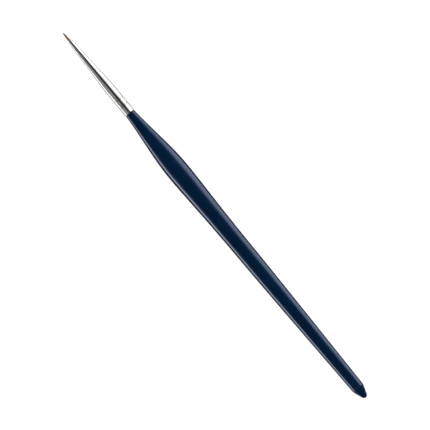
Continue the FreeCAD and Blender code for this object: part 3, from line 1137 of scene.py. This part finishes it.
@dataclass
class Ferrule:
    """The seamless nickel tube, crimped on the handle, and what glues it.

    Attributes:
        rim: The end on the handle.
        crimps: The middles of the two crimps.
        crimp_reach: How far a crimp's groove reaches each way.
        crimp_power: How sharply a groove's sides turn in.
        lip_reach: How far the lip past a groove goes, as a share of that.
        crimp_lip: How high the lip stands.
        cone_slope: How much the cone widens for each unit back from the mouth.
        bore_round: The broken edges at both ends of the bore.
        segments: How many steps go round.
    """

    rim: float = 136.5
    barrel_radius: float = 2.05
    barrel_steps: int = 132
    wall: float = 0.36
    crimps: Pair = (140.2, 143.1)
    crimp_reach: float = 0.65
    crimp_depth: float = 0.08
    crimp_power: float = 1.5
    crimp_lip: float = 0.012
    lip_reach: float = 0.6
    barrel_end: float = 146.2
    blend_middle: float = 148.4
    blend_steps: int = 24
    cone_start: float = 150.6
    cone_slope: float = 1.2 / 22.6
    cone_steps: int = 24
    mouth: float = 171.0
    mouth_radius: float = 0.85
    rim_round: float = 0.10
    mouth_round: float = 0.11
    edge_steps: int = 5
    bore_round: float = 0.05
    bore_edge_steps: int = 4
    segments: int = 112

    def barrel(self, x: float) -> float:
        """Gives the crimped barrel's radius, with a slight lip past each groove.

        Args:
            x: Place along the barrel.

        Returns:
            The radius there.
        """
        radius = self.barrel_radius
        for middle in self.crimps:
            off = abs(x - middle) / self.crimp_reach
            if off < 1.0:
                radius -= self.crimp_depth * (1.0 - off * off) ** self.crimp_power
            elif off < 1.0 + self.lip_reach:
                radius += self.crimp_lip * math.sin(math.pi * (off - 1.0) / self.lip_reach)
        return radius

    def skin(self) -> list[Point]:
        """Draws the outer outline.

        Returns:
            Its points, from the rim to the mouth.
        """
        first = self.rim + self.rim_round
        run = self.barrel_end - first
        places = [first + run * step / self.barrel_steps for step in range(self.barrel_steps + 1)]
        points = [(x, self.barrel(x)) for x in places]
        cone_radius = self.mouth_radius + (self.mouth - self.cone_start) * self.cone_slope
        end = (self.cone_start, cone_radius)
        middle = (self.blend_middle, self.barrel_radius)
        points += curve_through((points[-1], middle, end), self.blend_steps)
        last = self.mouth - self.mouth_round
        last_radius = self.mouth_radius + self.mouth_round * self.cone_slope
        points += run_to(end, (last, last_radius), self.cone_steps)
        return points

    def section(self) -> list[Point]:
        """Draws the whole section as a ring.

        Returns:
            The rim, the outside, the mouth and the bore, back at the rim.
        """
        outer = self.skin()
        bore = [(x, r - self.wall) for x, r in outer[::2]]
        rim_start = (self.rim, self.barrel_radius - self.rim_round)
        rim = rounded(rim_start, (self.rim, self.barrel_radius), outer[0], self.edge_steps)
        mouth_end = (self.mouth, self.mouth_radius - self.mouth_round)
        mouth = curve_through(
            (outer[-1], (self.mouth, self.mouth_radius), mouth_end), self.edge_steps
        )
        soft = self.bore_round
        hole, socket = self.mouth_radius - self.wall, self.barrel_radius - self.wall
        lip_start, lip_end = (self.mouth, hole + soft), (self.mouth - soft, hole)
        lip = rounded(lip_start, (self.mouth, hole), lip_end, self.bore_edge_steps)
        back_start, back_end = (self.rim + soft, socket), (self.rim, socket + soft)
        back = rounded(back_start, (self.rim, socket), back_end, self.bore_edge_steps)
        return rim + outer[1:] + mouth + lip + bore[-2:0:-1] + back

    def build(self, axis: Axis) -> None:
        """Builds the tube and dresses the glue and resin inside it.

        Args:
            axis: The line to turn the tube about.
        """
        tube = turned_mesh("drawn_nickel_ferrule", self.section(), axis, self.segments, closed=True)
        nickel = DrawnNickel(crimps=self.crimps).material(axis)
        hand_over(tube, nickel, Node.FERRULE)
        dress(Node.GLUE, WOOD_GLUE.material())
        dress(Node.RESIN, AMBER_RESIN.material())


class HairGraph(Graph):
    """Adds the nodes that keep values on each hair."""

    def random_value(self, seed: Socket, offset: float) -> Socket:
        """Gives each hair one random value.

        Args:
            seed: The tree's seed.
            offset: What is added to it, so that each use has its own values.

        Returns:
            The value's socket, from 0 to 1.
        """
        node = self.add("FunctionNodeRandomValue", data_type="FLOAT")
        self.feed(node.inputs["Seed"], self.math("ADD", seed, offset))
        return node.outputs["Value"]

    def store(self, geometry: Socket, label: str, value: Socket) -> Socket:
        """Keeps a value on the points under a name.

        Args:
            geometry: The points.
            label: The name.
            value: The value to keep.

        Returns:
            The socket of the points with their value.
        """
        node = self.add("GeometryNodeStoreNamedAttribute", data_type="FLOAT", domain="POINT")
        return self.fill(node, Geometry=geometry, Name=label, Value=value).outputs["Geometry"]

    def stored(self, label: str) -> Socket:
        """Reads a value back by its name."""
        node = self.add("GeometryNodeInputNamedAttribute", data_type="FLOAT")
        return self.fill(node, Name=label).outputs["Attribute"]


@dataclass
class Tuft:
    """The pointed bundle of hairs, bound with thread and set in the ferrule.

    Attributes:
        butt: The hidden cut end of the hairs.
        neck_start: Where the thread binds them, up to neck_end.
        belly: How far past the mouth the bundle bulges, with belly_swell.
        shoulder: How far behind the tip it still has its shoulder_share.
        lean: How far the tip leans to one side.
        lean_lead: How far behind the mouth the lean starts.
        rows: Points along each hair, crowded towards the tip by row_crowding.
        sides: How many sides a hair has.
        turn_jitter: How far a hair strays round the bundle, in radians.
        shortening: The share of its length that the shortest hair lacks.
        short_rarity: How few of the hairs are short.
        short_outward: How much more often the outer ones are.
        taper_start: Where a hair starts to taper, to taper_end of its radius.
        waves: How often a hair sways along its length.
        sway: How far it sways, from sway_least of its distance from the middle.
    """

    butt: float = 164.41
    butt_radius: float = 0.62
    neck_start: float = 165.71
    neck_end: float = 166.4
    neck_radius: float = 0.45
    mouth: float = 171.0
    mouth_radius: float = 0.49
    belly: float = 1.6
    belly_swell: float = 1.08
    shoulder: float = 0.4
    shoulder_share: float = 0.75
    point_steps: int = 12
    tip: float = 175.0
    tip_radius: float = 0.05
    lean: float = 0.13
    lean_lead: float = 0.6
    lean_length: float = 2.0
    hairs: int = 190
    hair_radius: float = 0.033
    rows: int = 13
    row_crowding: float = 1.6
    sides: int = 5
    seed: int = 7
    turn_jitter: float = 0.5
    shortening: float = 0.14
    short_rarity: float = 2.0
    short_outward: float = 1.5
    taper_start: float = 0.45
    taper_end: float = 0.22
    waves: float = 3.0
    sway: float = 0.16
    sway_least: float = 0.92

    def envelope(self) -> list[Point]:
        """Draws the bundle's outline.

        Returns:
            Its radius along it, from the butt to the tip.
        """
        points = [(self.butt, self.butt_radius), (self.neck_start, self.neck_radius)]
        points += [(self.neck_end, self.neck_radius), (self.mouth, self.mouth_radius)]
        poles = (
            points[-1],
            (self.mouth + self.belly, self.mouth_radius * self.belly_swell),
            (self.tip - self.shoulder, self.mouth_radius * self.shoulder_share),
            (self.tip, self.tip_radius),
        )
        return points + curve_through(poles, self.point_steps)

    def envelope_shares(self) -> list[Point]:
        """Gives the envelope with its length and butt radius scaled to 1."""
        length = self.tip - self.butt
        return [((x - self.butt) / length, r / self.butt_radius) for x, r in self.envelope()]

    def sizes(self, axis: Axis) -> dict[str, int | float]:
        """Gives the sizes that the hair tree takes.

        Args:
            axis: The line that the tuft lies on.

        Returns:
            Each input's value by its name, lengths in metres.
        """
        return {
            "Hairs": self.hairs,
            "Rows": self.rows,
            "Sides": self.sides,
            "Seed": self.seed,
            "Butt": axis.along(self.butt),
            "Tip": axis.along(self.tip),
            "Height": axis.height,
            "Bundle Radius": self.butt_radius * MM,
            "Hair Radius": self.hair_radius * MM,
            "Lean": self.lean * MM,
            "Lean Start": axis.along(self.mouth - self.lean_lead),
            "Lean Length": self.lean_length * MM,
        }

    def scattered(self, graph: HairGraph, given: Given) -> Socket:
        """Starts the hairs: straight lines, with what sets each one apart.

        Args:
            graph: The tree's graph.
            given: The tree's inputs.

        Returns:
            The socket of the lines, their values kept on their points.
        """
        index = graph.add("GeometryNodeInputIndex").outputs[0]
        points = graph.fill(graph.add("GeometryNodePoints"), Count=given["Hairs"])
        share = graph.math("DIVIDE", graph.math("ADD", index, 0.5), given["Hairs"])
        spread = graph.math("SQRT", share)
        stray = graph.random_value(given["Seed"], 1.0)
        jitter = graph.math("MULTIPLY_ADD", stray, self.turn_jitter, -self.turn_jitter / 2)
        turn = graph.math("MULTIPLY_ADD", index, GOLDEN_ANGLE, jitter)
        geometry = graph.store(points.outputs[0], "hair_spread", spread)
        geometry = graph.store(geometry, "hair_turn", turn)
        tone = graph.random_value(given["Seed"], 2.0)
        geometry = graph.store(geometry, "hair_tone", tone)
        short = graph.random_value(given["Seed"], 3.0)
        geometry = graph.store(geometry, "hair_short", short)
        strand = graph.add("GeometryNodeCurvePrimitiveLine")
        graph.fill(strand, End=(1.0, 0.0, 0.0))
        rows = graph.add("GeometryNodeResampleCurve")
        graph.fill(rows, Curve=strand.outputs[0], Count=given["Rows"])
        factor = graph.add("GeometryNodeSplineParameter").outputs["Factor"]
        line = graph.store(rows.outputs[0], "hair_along", factor)
        copies = graph.add("GeometryNodeInstanceOnPoints")
        graph.fill(copies, Points=geometry, Instance=line)
        loose = graph.add("GeometryNodeRealizeInstances")
        return graph.fill(loose, Geometry=copies.outputs[0]).outputs[0]

    def shaped(self, graph: HairGraph, given: Given) -> tuple[Socket, Socket]:
        """Works out where each point of a hair lies and how thick it is.

        Args:
            graph: The tree's graph.
            given: The tree's inputs.

        Returns:
            The sockets of the point's place and of the hair's radius there.
        """
        along, out = graph.stored("hair_along"), graph.stored("hair_spread")
        turn = graph.stored("hair_turn")
        short = graph.math("POWER", graph.stored("hair_short"), self.short_rarity)
        outward = graph.math("POWER", out, self.short_outward)
        short = graph.math("MULTIPLY", short, outward)
        reach = graph.math("MULTIPLY_ADD", short, -self.shortening, 1.0)
        ahead = graph.math("SUBTRACT", 1.0, along)
        ahead = graph.math("POWER", ahead, self.row_crowding)
        part = graph.math("MULTIPLY", graph.math("SUBTRACT", 1.0, ahead), reach)
        length = graph.math("SUBTRACT", given["Tip"], given["Butt"])
        x = graph.math("MULTIPLY_ADD", part, length, given["Butt"])
        full = graph.curve(part, self.envelope_shares())
        taper = graph.between(along, self.taper_start, 1.0, 1.0, self.taper_end)
        thickness = graph.math("MULTIPLY", taper, given["Hair Radius"])
        bundle = graph.math("MULTIPLY", full, given["Bundle Radius"])
        room = graph.math("MAXIMUM", graph.math("SUBTRACT", bundle, thickness), 0.0)
        phase = graph.add("ShaderNodeCombineXYZ")
        graph.fill(phase, X=graph.math("MULTIPLY", part, self.waves), Y=turn)
        wave = graph.noise(phase.outputs[0], 1.0, detail=0.0)
        sway = graph.math("MULTIPLY_ADD", wave, self.sway, self.sway_least)
        sway = graph.math("MINIMUM", sway, 1.0)
        radius = graph.math("MULTIPLY", graph.math("MULTIPLY", room, out), sway)
        lean_end = graph.math("ADD", given["Lean Start"], given["Lean Length"])
        bend = graph.between(x, given["Lean Start"], lean_end, 0.0, given["Lean"])
        y = graph.math("MULTIPLY_ADD", radius, graph.math("COSINE", turn), bend)
        z = graph.math("MULTIPLY_ADD", radius, graph.math("SINE", turn), given["Height"])
        spot = graph.fill(graph.add("ShaderNodeCombineXYZ"), X=x, Y=y, Z=z)
        return spot.outputs[0], thickness

    def hair_tree(
        self, sizes: dict[str, int | float], material: bpy.types.Material
    ) -> bpy.types.NodeTree:
        """Builds the node tree that grows the hairs.

        Args:
            sizes: The tree's inputs, each with its value.
            material: What the hairs are made of.

        Returns:
            The tree, with an input for each of its sizes.
        """
        tree = bpy.data.node_groups.new("bundle_of_hairs", "GeometryNodeTree")
        face = tree.interface
        for way in ("INPUT", "OUTPUT"):
            face.new_socket(name="Geometry", in_out=way, socket_type="NodeSocketGeometry")
        for label, value in sizes.items():
            kind = "NodeSocketInt" if isinstance(value, int) else "NodeSocketFloat"
            face.new_socket(name=label, in_out="INPUT", socket_type=kind)
        graph = HairGraph(tree)
        outputs = graph.add("NodeGroupInput").outputs
        given = {label: outputs[label] for label in sizes}
        lines = self.scattered(graph, given)
        spot, thickness = self.shaped(graph, given)
        bent = graph.fill(graph.add("GeometryNodeSetPosition"), Geometry=lines, Position=spot)
        ring = graph.add("GeometryNodeCurvePrimitiveCircle")
        graph.fill(ring, Resolution=given["Sides"], Radius=1.0)
        tube = graph.add("GeometryNodeCurveToMesh")
        graph.fill(tube, Curve=bent.outputs[0], Profile_Curve=ring.outputs[0])
        graph.fill(tube, Scale=thickness, Fill_Caps=True)
        smooth = graph.add("GeometryNodeSetShadeSmooth")
        graph.fill(smooth, Geometry=tube.outputs[0])
        real = graph.add("GeometryNodeRealizeInstances")
        graph.fill(real, Geometry=smooth.outputs[0])
        finish = graph.add("GeometryNodeSetMaterial")
        graph.fill(finish, Geometry=real.outputs[0], Material=material)
        graph.fill(graph.add("NodeGroupOutput"), Geometry=finish.outputs[0])
        return tree

    def build(self, axis: Axis) -> None:
        """Grows the hairs and dresses the thread that binds them.

        Args:
            axis: The line that the tuft lies on.
        """
        material = BrownHair().material()
        sizes = self.sizes(axis)
        tree = self.hair_tree(sizes, material)
        grower = place_object("hair_grower", bpy.data.meshes.new("hair_grower"))
        modifier = grower.modifiers.new("hairs", "NODES")
        modifier.node_group = tree
        for entry in tree.interface.items_tree:
            if entry.name in sizes:
                modifier[entry.identifier] = sizes[entry.name]
        graph = bpy.context.evaluated_depsgraph_get()
        mesh = bpy.data.meshes.new_from_object(grower.evaluated_get(graph), depsgraph=graph)
        mesh.name = "pointed_hair_tuft"
        bpy.data.objects.remove(grower)
        hand_over(place_object("pointed_hair_tuft", mesh), material, Node.TUFT)
        dress(Node.THREAD, CottonThread().material())


# --------------------------------------------------------------- the studio


@dataclass
class Studio:
    """A pale table under a dark ceiling, with soft cards, a lamp and a camera.

    Light is given as a multiple of the table's white, and angles in degrees.
    A span is the pair of a ray's X between which a card comes in or ends.

    Attributes:
        roll: The side cards' light by roll, the angle from overhead towards -Y.
        floor_roll: The roll past which a ray goes below the table.
        below: The light from there.
        brightest: The most that a side card gives.
        side_span: Where the side cards start, from the tail forward.
        side_fade: Where they fade to side_end of their light.
        low_strip: A bright strip just over the table, on the +Y side.
        low_strip_fade: Where it fades to low_strip_end of its light.
        front_calm: The most that the side cards give past calm_span.
        horizon_span: The height over which a ray turns from horizon to ceiling.
        table_glow: What the table gives off to the camera.
        glow_share: The share of its white that this takes the place of there.
        mirror_glow: What it gives off to reflections.
        card_from: The bounce card's near corner on the table, up to card_to.
        fill_size: The overhead lamp's side, in metres.
        aim: Where the camera hangs over the table.
        heading: How it is turned about the vertical.
    """

    roll: tuple[Point, ...] = (
        (-90.0, 0.38),
        (-74.0, 0.31),
        (-62.0, 0.30),
        (-50.0, 0.37),
        (-38.0, 0.38),
        (-26.0, 0.28),
        (-16.0, 0.13),
        (-8.0, 0.02),
        (0.0, 0.004),
        (8.0, 0.012),
        (16.0, 0.07),
        (24.0, 0.34),
        (33.0, 0.78),
        (44.0, 1.30),
        (54.0, 2.50),
        (64.0, 4.00),
        (74.0, 4.20),
        (84.0, 1.70),
        (90.0, 1.20),
    )
    floor_roll: float = 90.5
    below: float = 1.0
    brightest: float = 4.2
    side_span: Pair = (-0.34, -0.20)
    side_fade: Pair = (0.12, 0.24)
    side_end: float = 0.5
    low_strip: float = 3.4
    low_strip_roll: Pair = (-87.0, -89.0)
    low_strip_fade: Pair = (-0.045, -0.012)
    low_strip_end: float = 0.25
    front_card: float = 0.7
    front_span: Pair = (0.36, 0.80)
    front_calm: float = 1.2
    calm_span: Pair = (0.48, 0.60)
    rear_card: float = 1.0
    rear_span: Pair = (-0.60, -0.92)
    ceiling: float = 0.004
    horizon: float = 1.0
    horizon_span: Pair = (0.02, 0.24)
    table_reach: float = 4.0
    table_white: float = 0.80
    table_roughness: float = 0.08
    table_refraction: float = 1.5
    table_glow: float = 0.92
    glow_share: float = 0.80
    mirror_glow: float = 0.18
    card_from: Point = (-0.097, 0.019)
    card_to: Point = (0.100, 0.070)
    card_height: float = 0.0002
    card_glow: float = 3.0
    fill_size: float = 1.6
    fill_height: float = 1.6
    fill_watts: float = 16.0
    lens: float = 250.0
    sensor: float = 36.0
    distance: float = 1.1025
    heading: float = -129.684
    aim: Point = (-0.000113, -0.000141)

    def side_cards(self, graph: Graph, x: Socket, roll: Socket) -> Socket:
        """Adds the soft cards along both sides of the brush.

        Args:
            graph: The world's graph.
            x: The ray's X.
            roll: The ray's roll, in radians.

        Returns:
            The socket of the cards' light.
        """
        ramp = graph.add("ShaderNodeValToRGB")
        place = graph.math("MULTIPLY_ADD", roll, 1.0 / math.tau, 0.5)
        graph.feed(ramp.inputs[0], place)
        stops = [(-180.0, self.below), (-self.floor_roll, self.below), *self.roll]
        stops += [(self.floor_roll, self.below), (180.0, self.below)]
        elements = ramp.color_ramp.elements
        while len(elements) < len(stops):
            elements.new(0.5)
        for element, (angle, level) in zip(elements, stops):
            element.position = angle / 360.0 + 0.5
            element.color = grey(level / self.brightest)
        sides = graph.math("MULTIPLY", ramp.outputs[0], self.brightest)
        start, end = (math.radians(angle) for angle in self.low_strip_roll)
        strip = graph.between(roll, start, end, 0.0, self.low_strip)
        fade = graph.between(x, *self.low_strip_fade, 1.0, self.low_strip_end)
        sides = graph.math("MAXIMUM", sides, graph.math("MULTIPLY", strip, fade))
        sides = graph.math("MULTIPLY", sides, graph.between(x, *self.side_span))
        fade = graph.between(x, *self.side_fade, 1.0, self.side_end)
        sides = graph.math("MULTIPLY", sides, fade)
        calm = graph.between(x, *self.calm_span, self.brightest, self.front_calm)
        return graph.math("MINIMUM", sides, calm)

    def world(self) -> None:
        """Lights the scene from a sky of soft cards."""
        world = bpy.data.worlds.new("studio_cards")
        bpy.context.scene.world = world
        world.use_nodes = True
        graph = Graph(world.node_tree)
        x, y, z = graph.parts(graph.add("ShaderNodeTexCoord").outputs["Generated"])
        roll = graph.math("ARCTAN2", graph.math("MULTIPLY", y, -1.0), z)
        sides = self.side_cards(graph, x, roll)
        front = graph.between(x, *self.front_span, 0.0, self.front_card)
        rear = graph.between(x, *self.rear_span, 0.0, self.rear_card)
        height = graph.math("ABSOLUTE", z)
        rest = graph.between(height, *self.horizon_span, self.horizon, self.ceiling)
        light = graph.math("MAXIMUM", graph.math("MAXIMUM", sides, front), rear)
        light = graph.math("MAXIMUM", light, rest)
        graph.fill(world.node_tree.nodes["Background"], Color=grey(1.0), Strength=light)

    def table(self) -> None:
        """Lays the pale table that the brush lies on."""
        reach = self.table_reach
        table = flat_sheet("table_top", (-reach, -reach), (reach, reach), 0.0)
        material, graph, shader = start_material("pale_table")
        ray = graph.add("ShaderNodeLightPath").outputs
        seen = graph.math("MAXIMUM", ray["Is Camera Ray"], ray["Is Transmission Ray"])
        glow = graph.math("MULTIPLY", seen, self.table_glow)
        glow = graph.math("MULTIPLY_ADD", ray["Is Glossy Ray"], self.mirror_glow, glow)
        full, part = self.table_white, self.table_white * (1.0 - self.glow_share)
        white = graph.blend(seen, grey(full), grey(part))
        graph.fill(shader, Base_Color=white, Roughness=self.table_roughness)
        graph.fill(shader, IOR=self.table_refraction)
        graph.fill(shader, Emission_Color=grey(1.0), Emission_Strength=glow)
        table.data.materials.append(material)

    def bounce_card(self) -> None:
        """Lays a bright strip beside the brush, which shows only in reflections."""
        card = flat_sheet("bounce_card", self.card_from, self.card_to, self.card_height)
        material, graph, shader = start_material("bright_card")
        graph.fill(shader, Base_Color=grey(0.0), Emission_Color=grey(1.0))
        graph.fill(shader, Emission_Strength=self.card_glow, Specular_IOR_Level=0.0)
        card.data.materials.append(material)
        card.visible_camera = False
        card.visible_diffuse = False
        card.visible_transmission = False
        card.visible_shadow = False

    def fill_lamp(self) -> None:
        """Hangs a broad lamp overhead that lifts the shade but has no reflection."""
        lamp = bpy.data.lights.new("overhead_fill", "AREA")
        lamp.size = self.fill_size
        lamp.energy = self.fill_watts
        holder = place_object("overhead_fill", lamp)
        holder.location = (0.0, 0.0, self.fill_height)
        holder.visible_camera = False
        holder.visible_glossy = False

    def camera(self, axis: Axis) -> None:
        """Hangs the camera straight over the brush.

        Args:
            axis: The brush's line, which the distance is taken from.
        """
        data = bpy.data.cameras.new("overhead")
        data.lens = self.lens
        data.sensor_width = self.sensor
        camera = place_object("overhead", data)
        camera.location = Vector((*self.aim, axis.height + self.distance))
        camera.rotation_euler = (0.0, 0.0, math.radians(self.heading))
        bpy.context.scene.camera = camera

    def build(self, axis: Axis) -> None:
        """Sets up the light, the table and the camera.

        Args:
            axis: The brush's line.
        """
        self.world()
        self.table()
        self.bounce_card()
        self.fill_lamp()
        self.camera(axis)
        bpy.context.scene.view_settings.view_transform = "Standard"
        log.info("studio: table, cards, lamp and camera")


def main() -> None:
    """Builds the brush and the studio."""
    logging.basicConfig(level=logging.INFO, format="%(name)s: %(message)s")
    axis = Axis.of_model()
    for part in (Handle(), Ferrule(), Tuft(), Studio()):
        part.build(axis)


if __name__ == "__main__":
    main()
